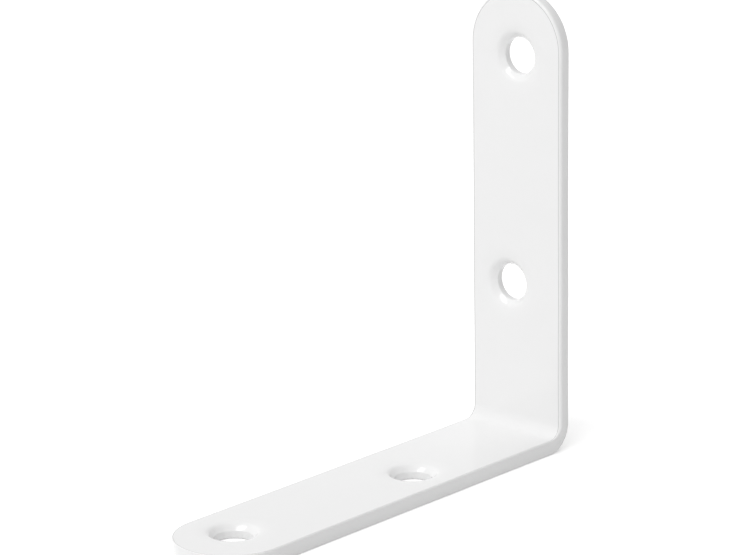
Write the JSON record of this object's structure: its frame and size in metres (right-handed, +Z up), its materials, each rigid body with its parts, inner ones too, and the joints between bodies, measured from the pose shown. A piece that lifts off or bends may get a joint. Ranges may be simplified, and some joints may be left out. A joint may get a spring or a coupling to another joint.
{
  "type": "corner brace",
  "caption": "Steel strip with round ends, bent square into two legs with countersunk screw holes, white gloss paint.",
  "frame": {"origin": "under the middle of the brace, on the plane of the foot's underside", "axes": "+X along the foot towards its tip, +Y across the strip, +Z up along the wall leg"},
  "size_m": [0.065, 0.015, 0.062],
  "materials": {
    "white_paint": "gloss"
  },
  "bodies": {
    "root": {"brace": "white_paint"}
  },
  "joints": []
}
